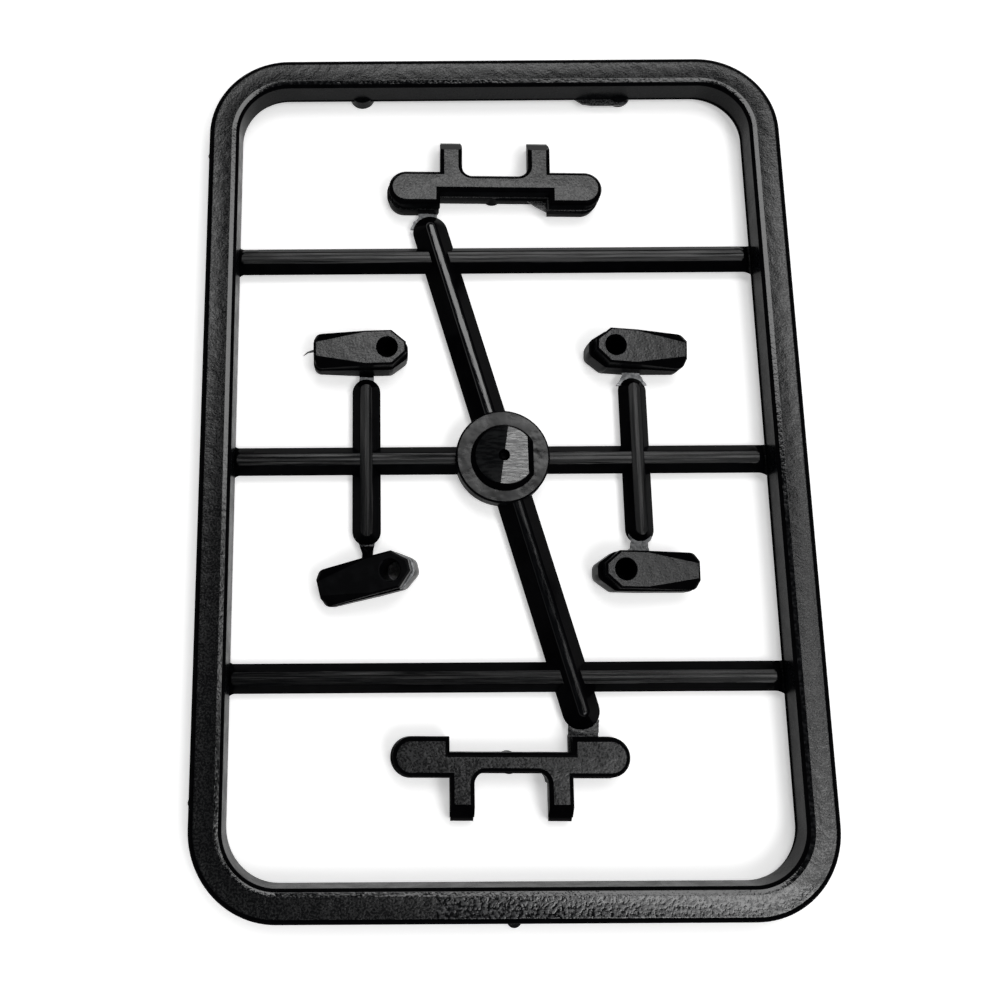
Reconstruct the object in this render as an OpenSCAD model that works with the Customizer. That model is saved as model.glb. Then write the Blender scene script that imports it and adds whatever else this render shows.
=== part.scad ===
// Injection-moulded parts tree: two clamp brackets and four clamp levers,
// still held by their gates to the runners inside a rounded rectangular frame.
// Millimetres. +Z is up, the tree lies on the plane z = 0, and the origin is
// on that plane under the middle of the frame. X is the tree's width, Y its length.

/* [Tree] */
// Width of the tree outside the frame (X)
tree_w = 90; // [84:0.5:120]
// Length of the tree outside the frame (Y)
tree_l = 129.2; // [124:0.2:160]
// Full height of the frame and the levers
tree_h = 6; // [5.2:0.1:8]
// Height of the mould's parting plane above the rest plane
parting_h = 1.6; // [1.2:0.1:2.2]
// Depth of the upper layer of the levers and brackets, down to their side step
layer_h = 2.2; // [2:0.05:2.6]
// How far the lower layers sit off the upper ones, to the left and to the front
slip = [0.2, 0.15]; // [0:0.05:0.4]

/* [Frame] */
// Width of a frame bar
bar_w = 4.9; // [4:0.1:7]
// Outside radius of the frame's corners
corner_r = 12.5; // [9:0.5:18]
// How far each frame wall leans back under the parting plane
bar_undercut = 0.9; // [0.5:0.1:1.4]
// How far each wall leans in between the parting plane and its shoulder
bar_draft = 0.12; // [0.02:0.02:0.3]
// Width of the outer edge bevel
bevel_w = 0.8; // [0.2:0.05:1]
// Width of the inner edge bevel, inside the rim
inner_bevel_w = 0.55; // [0.2:0.05:0.8]
// Height of the edge bevels
bevel_h = 0.45; // [0.2:0.05:0.9]
// Width of the shallow rim along the inner edge of the top face
rim_w = 0.65; // [0.3:0.05:1]
// Drop across the shallow rim
rim_drop = 0.15; // [0.05:0.05:0.3]

/* [Runners] */
// Width of a cross or branch runner at the parting plane
run_w = 4.3; // [3:0.05:5]
// Width of its flat top facet
run_top_w = 1.9; // [1:0.05:2.6]
// Width of its flat foot
run_foot_w = 2.2; // [1:0.1:2.8]
// Height of its top facet above the rest plane
run_h = 3.4; // [2.6:0.1:4.2]
// Distance from the middle cross runner to the outer ones
run_pitch = 31.95; // [27:0.05:38.5]
// Distance from the tree's middle to each branch runner
branch_x = 20.3; // [16:0.1:25]
// Half the length of a branch runner, tip to tip
branch_reach = 12.8; // [10:0.1:18]

/* [Diagonal runner] */
// Width at the parting plane
diag_w = 5.5; // [4.6:0.1:6]
// Height of its rounded crest above the rest plane
diag_h = 4.5; // [4.2:0.1:4.7]
// Radius of the crest
diag_crest_r = 1.2; // [0.8:0.1:1.5]
// Width of its flat foot
diag_foot_w = 3.2; // [2.6:0.1:4]
// How far its tips stand out past the outer cross runners' middle lines
diag_out = 7.5; // [5.5:0.05:8.5]
// Lean of the runner away from the tree's length
diag_lean = 15.7; // [15:0.1:16.4]
// Offset of its middle line from the sprue's axis
diag_offset = 0.15; // [0:0.05:0.3]

/* [Sprue] */
// Diameter of the sprue disc
disc_d = 14; // [13:0.1:15]
// Height of the disc above the rest plane
disc_h = 4.8; // [4.75:0.05:5.6]
// Diameter of the cut sprue stub at its top
stub_d = 8.6; // [6:0.1:9]
// Diameter of the stub where it meets the disc
stub_base_d = 10.1; // [9:0.1:10.8]
// Height of the stub above the disc
stub_h = 2.2; // [1:0.1:3]
// Offset of the stub's axis from the disc's middle, to the right and to the front
stub_shift = [0.2, 0.2]; // [0:0.05:0.3]
// Distance from the stub's axis to its slanted flat, at the top
stub_flat = 3.15; // [2:0.05:3.4]
// How far the flat leans out on its way down
stub_flat_lean = 1.2; // [0.2:0.05:1.4]
// Drop from the cutter's ridge to both sides of the stub's top
ridge_drop = 0.6; // [0.1:0.05:0.8]
// Turn of the cutter's ridge from the tree's length
ridge_turn = -9; // [-20:1:20]
// Diameter of the shrink hole in the stub
shrink_d = 1.6; // [0.8:0.1:2]
// Depth of the shrink hole
shrink_depth = 1.2; // [0.5:0.1:2]

/* [Clamp levers] */
// Diameter of the lever's screw hole
bore_d = 3.1; // [2:0.1:3.6]
// From the hole's axis to the tip of the nose, at the top face
nose_x = 2.6; // [2.3:0.05:3.2]
// From the hole's axis to the end of the tail, at the top face
tail_x = 10.7; // [9:0.1:12.5]
// Width of the head's top face
head_w = 4.9; // [4.6:0.1:5.6]
// Width of the tail's top face
tail_w = 2.15; // [1.4:0.05:3]
// From the hole's axis to where the tail starts to narrow
knee_x = 3.3; // [2:0.1:5]
// How far the walls stand out past the top face
wall_out = 0.28; // [0.1:0.02:0.4]
// How far the lower half steps out past the upper one
step_out = 0.15; // [0.05:0.05:0.4]
// How far the lower half's nose stands out past the upper one
nose_out = 0.5; // [0.15:0.05:0.6]
// Gap between a branch runner's tip and the lever's wall
lever_gap = 1; // [0.5:0.05:2]
// From a branch runner's middle inwards to the upper lever's hole
upper_hole_in = 3.2; // [2.8:0.05:5]
// From a branch runner's middle inwards to the lower lever's hole
lower_hole_in = 3.4; // [2.8:0.05:5]
// How far both right-hand levers sit outwards of the left-hand ones' mirror image
right_out = 0.2; // [0:0.05:0.4]
// How far both lower levers sit further from the tree's middle than the upper ones
lower_out = 0.2; // [0:0.05:0.3]
// Pitch of both right-hand levers, tail down
right_pitch = 5; // [0:0.5:6]
// Pitch of the twisted lower left lever, tail down
twist_pitch = 13; // [0:1:15]
// Turn of the twisted lower left lever about its hole
twist_turn = 13.3; // [0:0.1:15]

/* [Clamp brackets] */
// Gap between a diagonal tip and the wall of the bracket's lobe
bracket_gap = 0.6; // [0.4:0.05:2]
// Height of a bracket
bracket_h = 5; // [4.4:0.1:6]
// Half the length of a bracket's top face
lobe_reach = 16.05; // [14:0.05:18]
// Width of a lobe's top face
lobe_w = 4.2; // [3.6:0.1:5.4]
// From the bracket's middle to the inner end of a lobe
lobe_inner = 9.25; // [8.7:0.05:10.4]
// Width of the bridge's top face
bridge_w = 1.45; // [1:0.05:2]
// From the bracket's middle to the middle of a prong
prong_x = 6.9; // [6:0.05:7.4]
// Width of a prong's top face
prong_w = 2.2; // [1.4:0.05:2.6]
// From the lobes' middle line to the end of a prong's top face
prong_reach = 6.3; // [4:0.1:8]
// Length of the slope at a prong's end
prong_slope_l = 2.5; // [1:0.05:3.4]
// Drop of the slope at a prong's end
prong_slope_h = 2.9; // [1:0.1:3.4]
// Radius where a prong meets the bridge
prong_fillet_r = 2.2; // [1:0.1:2.6]
// Diameter of the ejector pad under the bridge
pad_d = 3.1; // [2:0.1:3.6]

/* [Gates and lugs] */
// Thickness of a gate web
gate_t = 0.6; // [0.3:0.05:1]
// Width of a lever's gate
gate_w = 2; // [1:0.1:3]
// Width of a bracket's fan gate
fan_w = 3.8; // [2:0.1:4]
// How far a fan gate sits outwards of the diagonal's tip (X)
fan_out = 0.4; // [0:0.1:1]
// Length of the flash web in the upper bracket's corner
corner_web_l = 3.4; // [1:0.1:5]
// Height of the frame's small lugs
lug_h = 2; // [1:0.1:3]
// Diameter of the two side lugs
side_lug_d = 1.7; // [1:0.1:2.4]
// How far the side lugs stand out
side_lug_out = 0.6; // [0.3:0.1:0.8]
// Distance of the lower and the upper side lug from the tree's middle (Y)
side_lug_y = [49, 49.9]; // [40:0.1:51]
// Diameter of the lug on the end bar
end_lug_d = 2.1; // [1.4:0.1:2.4]
// How far the end lug stands out
end_lug_out = 1.1; // [0.5:0.1:1.2]
// Diameter of the two inner lugs
inner_lug_d = 4; // [3:0.1:5]
// How far the inner lugs stand out
inner_lug_out = 0.6; // [0.3:0.1:1]
// Distance of the inner lugs from the tree's middle (X)
inner_lug_x = 20.9; // [10:0.1:26]
// Length of the flash tongue beside the right inner lug
tongue_l = 8.4; // [4:0.1:10]
// How far the flash tongue stands out
tongue_out = 1.1; // [0.6:0.1:1.6]
// Thickness of the flash
flash_t = 0.3; // [0.2:0.05:0.5]
// Length of the flash whisker on the upper left lever's tail
whisker_l = 2.2; // [0.5:0.1:3]

/* [Hidden] */

$fn = 64;
plastic = "#1d1e20";

// Clearance added to a cutting tool so that it passes a face cleanly
pass = 1;
// Thickness of a level that a hull spans; too thin to see
sheet = 0.01;

// Heights
shoulder_h = tree_h - bevel_h;
lever_step_z = tree_h - layer_h;
bracket_step_z = bracket_h - layer_h;
stub_top = disc_h + stub_h;

// Frame
side_l = tree_l - 2 * corner_r;
end_l = tree_w - 2 * corner_r;
bar_mid_x = tree_w / 2 - bar_w / 2;

// Diagonal runner
diag_tip_y = run_pitch + diag_out;
diag_dome_x = (diag_tip_y - diag_w / 2) / cos(diag_lean);
diag_crest_z = diag_h - diag_crest_r;
diag_turn_upper = 90 + diag_lean;
diag_turn_lower = -90 + diag_lean;
top_cross_x = -run_pitch * tan(diag_lean);

// Levers
nose_flat = 1.35;
nose_corner_x = 0.6;
post_r = 1.2;
foot_inset = 0.1;
lever_edge_h = 0.3;
tail_wall_x = tail_x + 0.3;
tail_corner_r = 1.15;
lever_half = head_w / 2 + wall_out;
lever_y = branch_reach + lever_gap + lever_half + step_out;
foot_lift = 1.4;

// Brackets
lobe_r = lobe_w / 2;
bracket_edge_h = 0.5;
bracket_edge_out = 0.62;
bracket_wall_out = 0.64;
bracket_low_out = 0.72;
bracket_foot_out = 0.5;
prong_low_w = prong_w - 0.4;
bracket_y = diag_tip_y + bracket_gap + lobe_r + bracket_low_out;
upper_bracket_turn = -1;
lower_bracket_turn = 179.5;

// ---------------------------------------------------------------- frame

// A frame bar across its width: outer wall at x = 0, rest plane at y = 0
module bar_section() {
    polygon([
        [bar_undercut, 0],
        [0, parting_h],
        [bar_draft, shoulder_h],
        [bevel_w, tree_h],
        [bar_w - rim_w - inner_bevel_w, tree_h],
        [bar_w - inner_bevel_w, tree_h - rim_drop],
        [bar_w - bar_draft, shoulder_h],
        [bar_w, parting_h],
        [bar_w - bar_undercut, 0],
    ]);
}

// A straight bar along X, outer wall on y = 0, with the tree's middle towards +Y
module straight_bar(length) {
    rotate([90, 0, 90]) linear_extrude(length, center = true) bar_section();
}

// The left bar for side = -1, the right bar for side = 1
module side_bar(side) {
    translate([side * tree_w / 2, 0, 0]) rotate(side * 90) straight_bar(side_l);
}

// The bottom bar for end = -1, the top bar for end = 1
module end_bar(end) {
    translate([0, end * tree_l / 2, 0]) rotate(end > 0 ? 180 : 0) straight_bar(end_l);
}

module frame_corner() {
    rotate_extrude(angle = 90) translate([corner_r, 0]) mirror([1, 0]) bar_section();
}

module frame_solid() {
    for (side = [-1, 1]) {
        side_bar(side);
        end_bar(side);
    }
    for (x = [-1, 1], y = [-1, 1])
        translate([x * end_l / 2, y * side_l / 2, 0])
            rotate(x > 0 ? (y > 0 ? 0 : -90) : (y > 0 ? 90 : 180)) frame_corner();
}

module outer_frame() color(plastic) frame_solid();

// A small round lug standing on the rest plane
module lug(x, y, d) {
    translate([x, y, 0]) cylinder(d = d, h = lug_h);
}

// Two lugs outside the left bar
module frame_side_lugs() {
    lug_x = -tree_w / 2 - side_lug_out + side_lug_d / 2;
    color(plastic) difference() {
        union() {
            lug(lug_x, -side_lug_y[0], side_lug_d);
            lug(lug_x, side_lug_y[1], side_lug_d);
        }
        frame_solid();
    }
}

// The lug outside the bottom bar
module frame_end_lug() {
    color(plastic) difference() {
        lug(0, -tree_l / 2 - end_lug_out + end_lug_d / 2, end_lug_d);
        end_bar(-1);
    }
}

// Two lugs low on the inner wall of the top bar
module inner_lug_pair() {
    for (side = [-1, 1])
        lug(side * inner_lug_x, tree_l / 2 - bar_w - inner_lug_out + inner_lug_d / 2, inner_lug_d);
}

module frame_inner_lugs() {
    color(plastic) difference() {
        inner_lug_pair();
        end_bar(1);
    }
}

// A tongue of flash on the parting plane, beside the right inner lug
module frame_flash_tongue() {
    wall_y = tree_l / 2 - bar_w;
    right = inner_lug_x + 0.9;
    color(plastic) difference() {
        translate([0, 0, parting_h - flash_t]) linear_extrude(flash_t) polygon([
            [right - tongue_l, wall_y + bar_draft],
            [right - tongue_l + 1.4, wall_y - tongue_out * 0.75],
            [right - tongue_l + 3, wall_y - tongue_out],
            [right - 0.3, wall_y - tongue_out],
            [right + 0.3, wall_y - tongue_out * 0.55],
            [right + 0.5, wall_y + bar_draft],
        ]);
        inner_lug_pair();
        end_bar(1);
    }
}

// -------------------------------------------------------------- runners

module runner_section() {
    polygon([
        [-run_foot_w / 2, 0],
        [-run_w / 2, parting_h],
        [-run_top_w / 2, run_h],
        [run_top_w / 2, run_h],
        [run_w / 2, parting_h],
        [run_foot_w / 2, 0],
    ]);
}

// A plain runner along +X from x = 0
module straight_runner(length) {
    rotate([90, 0, 90]) linear_extrude(length) runner_section();
}

// The rounded end of a runner, round the origin and towards +X
module runner_dome() {
    rotate(-90) rotate_extrude(angle = 180) intersection() {
        runner_section();
        translate([0, -pass]) square([run_w, run_h + 2 * pass]);
    }
}

// A cross runner at height y on the sheet, from x = from_x into the side bar
module cross_runner(y, from_x, side) {
    length = bar_mid_x - side * from_x;
    translate([from_x, y, 0]) rotate(side > 0 ? 0 : 180) straight_runner(length);
}

module top_runner(side) {
    color(plastic) difference() {
        cross_runner(run_pitch, top_cross_x, side);
        side_bar(side);
        diagonal_half(diag_turn_upper);
    }
}

module bottom_runner(side) {
    color(plastic) difference() {
        cross_runner(-run_pitch, -top_cross_x, side);
        side_bar(side);
        diagonal_half(diag_turn_lower);
    }
}

// From a branch runner to the side bar
module middle_runner_outer(side) {
    color(plastic) difference() {
        cross_runner(0, side * branch_x, side);
        side_bar(side);
        branch_solid(side);
    }
}

// From the sprue disc to a branch runner
module middle_runner_inner(side) {
    color(plastic) difference() {
        rotate(side > 0 ? 0 : 180) straight_runner(branch_x);
        disc_solid();
        branch_solid(side);
    }
}

module top_runner_left() top_runner(-1);
module top_runner_right() top_runner(1);
module middle_runner_left_outer() middle_runner_outer(-1);
module middle_runner_left_inner() middle_runner_inner(-1);
module middle_runner_right_inner() middle_runner_inner(1);
module middle_runner_right_outer() middle_runner_outer(1);
module bottom_runner_left() bottom_runner(-1);
module bottom_runner_right() bottom_runner(1);

// A branch runner along Y with both ends rounded
module branch_solid(side) {
    straight = branch_reach - run_w / 2;
    translate([side * branch_x, 0, 0]) {
        for (end = [-90, 90]) rotate(end) {
            straight_runner(straight);
            translate([straight, 0, 0]) runner_dome();
        }
    }
}

module branch_runner_left() color(plastic) branch_solid(-1);
module branch_runner_right() color(plastic) branch_solid(1);

// ----------------------------------------------------- diagonal and sprue

// Half of the diagonal runner's section, from its middle line outwards
module diag_half_section() {
    crest = [for (a = [90:-15:30]) [diag_crest_r * cos(a), diag_crest_z + diag_crest_r * sin(a)]];
    polygon(concat([[0, 0]], crest, [[diag_w / 2, parting_h], [diag_foot_w / 2, 0]]));
}

// One half of the diagonal runner, from the sprue's axis to its rounded tip
module diagonal_half(turn) {
    translate([diag_offset, 0, 0]) rotate(turn) {
        rotate([90, 0, 90]) linear_extrude(diag_dome_x) {
            diag_half_section();
            mirror([1, 0]) diag_half_section();
        }
        translate([diag_dome_x, 0, 0])
            rotate(-90) rotate_extrude(angle = 180) diag_half_section();
    }
}

module diagonal_runner_upper() {
    color(plastic) difference() {
        diagonal_half(diag_turn_upper);
        disc_solid();
    }
}

module diagonal_runner_lower() {
    color(plastic) difference() {
        diagonal_half(diag_turn_lower);
        disc_solid();
    }
}

module disc_solid() {
    edge = 0.15;
    rotate_extrude() polygon([
        [0, 0],
        [disc_d / 2 - bar_undercut, 0],
        [disc_d / 2, parting_h],
        [disc_d / 2, disc_h - edge],
        [disc_d / 2 - edge, disc_h],
        [0, disc_h],
    ]);
}

module sprue_disc() color(plastic) disc_solid();

// The cut sprue: a flared stub with a ridge left by the cutter, a slanted flat
// towards +X and a shrink hole
module sprue_stub() {
    color(plastic) difference() {
        translate([stub_shift[0], -stub_shift[1], 0]) difference() {
            intersection() {
                translate([0, 0, disc_h]) cylinder(d1 = stub_base_d, d2 = stub_d, h = stub_h);
                rotate([90, 0, ridge_turn]) linear_extrude(2 * stub_base_d, center = true) polygon([
                    [-stub_base_d, disc_h - pass],
                    [-stub_base_d, stub_top - ridge_drop * 2 * stub_base_d / stub_d],
                    [0, stub_top],
                    [stub_base_d, stub_top - ridge_drop * 2 * stub_base_d / stub_d],
                    [stub_base_d, disc_h - pass],
                ]);
            }
            rotate([90, 0, 0]) linear_extrude(2 * stub_base_d, center = true) polygon([
                [stub_flat, stub_top],
                [stub_flat + stub_flat_lean, disc_h],
                [stub_base_d, disc_h],
                [stub_base_d, stub_top + pass],
                [stub_flat, stub_top + pass],
            ]);
        }
        translate([0, -stub_shift[1], stub_top - shrink_depth])
            cylinder(d = shrink_d, h = shrink_depth + pass);
    }
}

// --------------------------------------------------------------- levers

// The lever's outline at its top face, grown by out; the tail's end is tail_half wide
module lever_outline(out, tail_half, tail_end) {
    polygon([
        [-nose_x - out, nose_flat / 2 + out / 2],
        [-nose_corner_x - out / 2, head_w / 2 + out],
        [knee_x, head_w / 2 + out],
        [tail_end, tail_half],
        [tail_end, -tail_half],
        [knee_x, -head_w / 2 - out],
        [-nose_corner_x - out / 2, -head_w / 2 - out],
        [-nose_x - out, -nose_flat / 2 - out / 2],
    ]);
}

// One thin level of the lever
module lever_level(z, out, tail_half, tail_end) {
    translate([0, 0, z]) linear_extrude(sheet) lever_outline(out, tail_half, tail_end);
}

// Round corner posts at both sides of the lever, between two heights
module corner_posts(x, y, r, z0, z1) {
    for (side = [-1, 1])
        translate([x, side * y, z0]) cylinder(r = r, h = z1 - z0, $fn = 32);
}

// Upper layer: pointed nose, narrow tail top and slanted flanks
module lever_upper_layer() {
    tail_post_x = tail_wall_x - tail_corner_r;
    hull() {
        lever_level(tree_h - sheet, 0, tail_w / 2, tail_x);
        lever_level(tree_h - lever_edge_h, wall_out, tail_w / 2 + wall_out, tail_wall_x);
        lever_level(lever_step_z, wall_out, lever_half - tail_corner_r, tail_post_x);
        corner_posts(tail_post_x, lever_half - tail_corner_r, tail_corner_r,
            lever_step_z, lever_step_z + sheet);
    }
}

// Lower layer: the same nose one step wider and rounded, with the tail's foot lifted
module lever_lower_layer() {
    tail_post_x = tail_wall_x - tail_corner_r;
    tip_x = post_r - nose_x - wall_out - nose_out;
    shoulder_x = post_r / 8 - nose_corner_x;
    shoulder_y = lever_half + step_out - post_r;
    foot_r = post_r - foot_inset;
    hull() {
        corner_posts(tip_x, nose_flat / 3, post_r, parting_h, lever_step_z);
        corner_posts(shoulder_x, shoulder_y, post_r, parting_h, lever_step_z);
        corner_posts(tail_post_x, lever_half - tail_corner_r, tail_corner_r, parting_h, lever_step_z);
        corner_posts(tail_post_x, lever_half - tail_corner_r, tail_corner_r - step_out,
            foot_lift, parting_h);
        corner_posts(tip_x, nose_flat / 3, foot_r, 0, parting_h);
        corner_posts(shoulder_x, shoulder_y, foot_r, 0, parting_h);
        corner_posts(knee_x, shoulder_y, foot_r, 0, parting_h);
    }
}

// A clamp lever on z = 0, its screw hole on the Z axis and its tail towards +X.
// Its lower layer is off by shift
module lever_solid(shift) {
    difference() {
        union() {
            lever_upper_layer();
            translate([shift[0], shift[1], 0]) lever_lower_layer();
        }
        translate([0, 0, -pass]) cylinder(d = bore_d, h = tree_h + 2 * pass);
    }
}

// Levers by side (X) and end (Y) of the tree, in place
module placed_lever(side, end) {
    hole_x = branch_x - (end > 0 ? upper_hole_in : lower_hole_in) + (side > 0 ? right_out : 0);
    hole_y = lever_y + (end > 0 ? 0 : lower_out);
    twisted = side < 0 && end < 0;
    small_turn = end < 0 ? -1.2 : (side > 0 ? -3 : 1.3);
    turn = (side > 0 ? 0 : 180) + (twisted ? twist_turn : small_turn);
    pitch = twisted ? twist_pitch : (side > 0 ? right_pitch : 0);
    shift = [-slip[0] * cos(turn) - slip[1] * sin(turn), slip[0] * sin(turn) - slip[1] * cos(turn)];
    back = tree_h * tan(pitch) - shift[0];
    lift = max(0, (knee_x + post_r - foot_inset - back) * sin(pitch),
        (tail_wall_x - step_out - back) * sin(pitch) - foot_lift * cos(pitch));
    translate([side * hole_x, end * hole_y, lift])
        rotate([0, pitch, turn]) translate([-tree_h * tan(pitch), 0, 0]) lever_solid(shift);
}

module clamp_lever_upper_left() color(plastic) placed_lever(-1, 1);
module clamp_lever_upper_right() color(plastic) placed_lever(1, 1);
module clamp_lever_lower_left() color(plastic) placed_lever(-1, -1);
module clamp_lever_lower_right() color(plastic) placed_lever(1, -1);

// A whisker of flash on the upper left lever's tail
module lever_flash_whisker() {
    root = [upper_hole_in - branch_x - tail_x, lever_y];
    color(plastic) difference() {
        translate([root[0], root[1], lever_step_z - flash_t]) rotate(199)
            linear_extrude(flash_t) polygon([
                [-pass, -0.35],
                [whisker_l * 0.3, -0.42],
                [whisker_l * 0.65, -0.38],
                [whisker_l, 0],
                [whisker_l * 0.6, -0.22],
                [whisker_l * 0.3, -0.1],
                [-pass, 0.1],
            ]);
        placed_lever(-1, 1);
    }
}

// ------------------------------------------------------------- brackets

// Upper layer of a bracket's arm across its width: walls with a bevelled edge
module arm_upper(w) {
    polygon([
        [-w / 2 - bracket_wall_out, bracket_step_z],
        [-w / 2 - bracket_edge_out, bracket_h - bracket_edge_h],
        [-w / 2, bracket_h],
        [w / 2, bracket_h],
        [w / 2 + bracket_edge_out, bracket_h - bracket_edge_h],
        [w / 2 + bracket_wall_out, bracket_step_z],
    ]);
}

// Lower layer of a bracket's arm, a step wider, with a narrower foot
module arm_lower(w) {
    polygon([
        [-w / 2 - bracket_foot_out, 0],
        [-w / 2 - bracket_low_out, parting_h],
        [-w / 2 - bracket_low_out, bracket_step_z],
        [w / 2 + bracket_low_out, bracket_step_z],
        [w / 2 + bracket_low_out, parting_h],
        [w / 2 + bracket_foot_out, 0],
    ]);
}

// A lobe towards +X: a straight arm that ends in a half round. children(0) is
// the arm's section, children(1) the profile that shapes its inner end
module lobe() {
    round_x = lobe_reach - lobe_r;
    intersection() {
        rotate([90, 0, 90]) linear_extrude(round_x) children(0);
        rotate([90, 0, 0]) linear_extrude(4 * lobe_w, center = true)
            translate([lobe_inner + lobe_w, 0]) children(1);
    }
    translate([round_x, 0, 0]) rotate(-90) rotate_extrude(angle = 180) intersection() {
        children(0);
        translate([0, -pass]) square([2 * lobe_w, bracket_h + 2 * pass]);
    }
}

// The lobe's half on the prongs' side goes on inwards to the prong; its child is the
// lobe's section
module lobe_neck() {
    translate([prong_x, 0, 0]) rotate([90, 0, 90]) linear_extrude(lobe_inner + lobe_r - prong_x)
        intersection() {
            children();
            translate([bridge_w / 4, -pass]) square([2 * lobe_w, bracket_h + 2 * pass]);
        }
}

// The bridge along X; its child is the arm's section
module bridge() {
    translate([-lobe_inner - bracket_edge_out, bridge_w / 2, 0])
        rotate([90, 0, 90]) linear_extrude(2 * (lobe_inner + bracket_edge_out)) children();
}

// A prong towards +Y with a sloped end; its child is the arm's section
module prong() {
    end_y = prong_reach + prong_slope_l;
    intersection() {
        translate([prong_x, end_y, 0]) rotate([90, 0, 0]) linear_extrude(end_y) children();
        rotate([90, 0, 90]) linear_extrude(lobe_reach) polygon([
            [-pass, -pass],
            [end_y, -pass],
            [end_y, bracket_h - prong_slope_h],
            [prong_reach, bracket_h],
            [-pass, bracket_h],
        ]);
    }
}

// The concave corner between a prong's inner side and the bridge
module prong_fillet() {
    corner = [prong_x - prong_w / 2 - prong_fillet_r, bridge_w + prong_fillet_r];
    edge_z = bracket_h - bracket_edge_h;
    difference() {
        translate([corner[0], bridge_w / 2, 0])
            cube([prong_fillet_r + prong_w / 2, prong_fillet_r + bridge_w / 2, bracket_h]);
        translate([corner[0], corner[1], -pass])
            cylinder(r = prong_fillet_r - bracket_edge_out, h = edge_z + pass);
        translate([corner[0], corner[1], edge_z])
            cylinder(r1 = prong_fillet_r - bracket_edge_out, r2 = prong_fillet_r,
                h = bracket_edge_h);
    }
}

// A clamp bracket on z = 0, lobes on the X axis and prongs towards +Y.
// Its lower layer is off by shift
module bracket_solid(shift) {
    for (side = [0, 1]) mirror([side, 0, 0]) {
        lobe() {
            arm_upper(lobe_w);
            arm_upper(2 * lobe_w);
        }
        lobe_neck() arm_upper(lobe_w);
        prong() arm_upper(prong_w);
        prong_fillet();
    }
    bridge() arm_upper(bridge_w);
    for (side = [0, 1]) mirror([side, 0, 0]) prong() arm_lower(prong_low_w);
    translate([shift[0], shift[1], 0]) {
        for (side = [0, 1]) mirror([side, 0, 0]) {
            lobe() {
                arm_lower(lobe_w);
                arm_lower(2 * lobe_w);
            }
            lobe_neck() arm_lower(lobe_w);
        }
        bridge() arm_lower(bridge_w);
        translate([0, bridge_w / 2, 0]) cylinder(d = pad_d, h = bracket_step_z);
    }
}

// Puts its children in a bracket's place
module at_bracket(end) {
    translate([0, end * bracket_y, 0])
        rotate(end > 0 ? upper_bracket_turn : lower_bracket_turn) children();
}

module clamp_bracket_upper() color(plastic) at_bracket(1) bracket_solid([-slip[0], -slip[1]]);
module clamp_bracket_lower() color(plastic) at_bracket(-1) bracket_solid([slip[0], slip[1]]);

// ---------------------------------------------------------------- gates

// A thin web on the parting plane from one point towards another
module web(length, start_w, end_w) {
    translate([0, 0, parting_h - gate_t / 2]) linear_extrude(gate_t)
        polygon([[0, -start_w / 2], [length, -end_w / 2], [length, end_w / 2], [0, start_w / 2]]);
}

// The lower layer of a bracket's lobes as plain boxes, in place
module lobe_boxes(end) {
    at_bracket(end) translate([-end * slip[0], -end * slip[1], 0])
        for (side = [0, 1]) mirror([side, 0, 0])
            translate([lobe_inner - bracket_low_out, -lobe_r - bracket_low_out, 0])
                cube([lobe_reach, lobe_w + 2 * bracket_low_out, bracket_h]);
}

// The fan gate between a tip of the diagonal runner and a bracket's lobe
module bracket_gate(end) {
    fan_x = diag_dome_x * sin(diag_lean) + fan_out;
    dome_y = diag_dome_x * cos(diag_lean);
    color(plastic) difference() {
        translate([-end * fan_x, end * dome_y, 0]) rotate(end * 90)
            web(bracket_y - dome_y, fan_w, fan_w);
        diagonal_half(end > 0 ? diag_turn_upper : diag_turn_lower);
        lobe_boxes(end);
    }
}

// A web of flash in the corner between the upper bracket's bridge and right lobe
module bracket_corner_web() {
    wall = bracket_low_out;
    color(plastic) difference() {
        at_bracket(1) translate([-slip[0], -slip[1], parting_h - flash_t / 2])
            linear_extrude(flash_t) polygon([
                [lobe_inner - corner_web_l - wall, -wall + 0.3],
                [lobe_inner - wall + 0.3, -wall + 0.3],
                [lobe_inner - wall + 0.3, -wall - 2],
                [lobe_inner - corner_web_l / 2 - wall, -wall - 0.9],
            ]);
        lobe_boxes(1);
        at_bracket(1) translate([-slip[0], -slip[1], 0]) bridge() arm_lower(bridge_w);
    }
}

// The gate between a branch runner's tip and a lever
module lever_gate(side, end) {
    color(plastic) difference() {
        translate([side * branch_x, end * (branch_reach - run_w / 2), 0])
            rotate(end * 90) web(run_w / 2 + lever_gap + lower_out + lever_half, gate_w, gate_w);
        branch_solid(side);
        placed_lever(side, end);
    }
}

module gate_bracket_upper() bracket_gate(1);
module gate_bracket_lower() bracket_gate(-1);
module gate_lever_upper_left() lever_gate(-1, 1);
module gate_lever_upper_right() lever_gate(1, 1);
module gate_lever_lower_left() lever_gate(-1, -1);
module gate_lever_lower_right() lever_gate(1, -1);

// ---------------------------------------------------------------- nodes

outer_frame();
top_runner_left();
top_runner_right();
middle_runner_left_outer();
middle_runner_left_inner();
middle_runner_right_inner();
middle_runner_right_outer();
bottom_runner_left();
bottom_runner_right();
diagonal_runner_upper();
diagonal_runner_lower();
branch_runner_left();
branch_runner_right();
sprue_disc();
sprue_stub();
clamp_bracket_upper();
clamp_bracket_lower();
clamp_lever_upper_left();
clamp_lever_upper_right();
clamp_lever_lower_left();
clamp_lever_lower_right();
gate_bracket_upper();
gate_bracket_lower();
gate_lever_upper_left();
gate_lever_upper_right();
gate_lever_lower_left();
gate_lever_lower_right();
frame_side_lugs();
frame_end_lug();
frame_inner_lugs();
frame_flash_tongue();
bracket_corner_web();
lever_flash_whisker();
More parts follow.
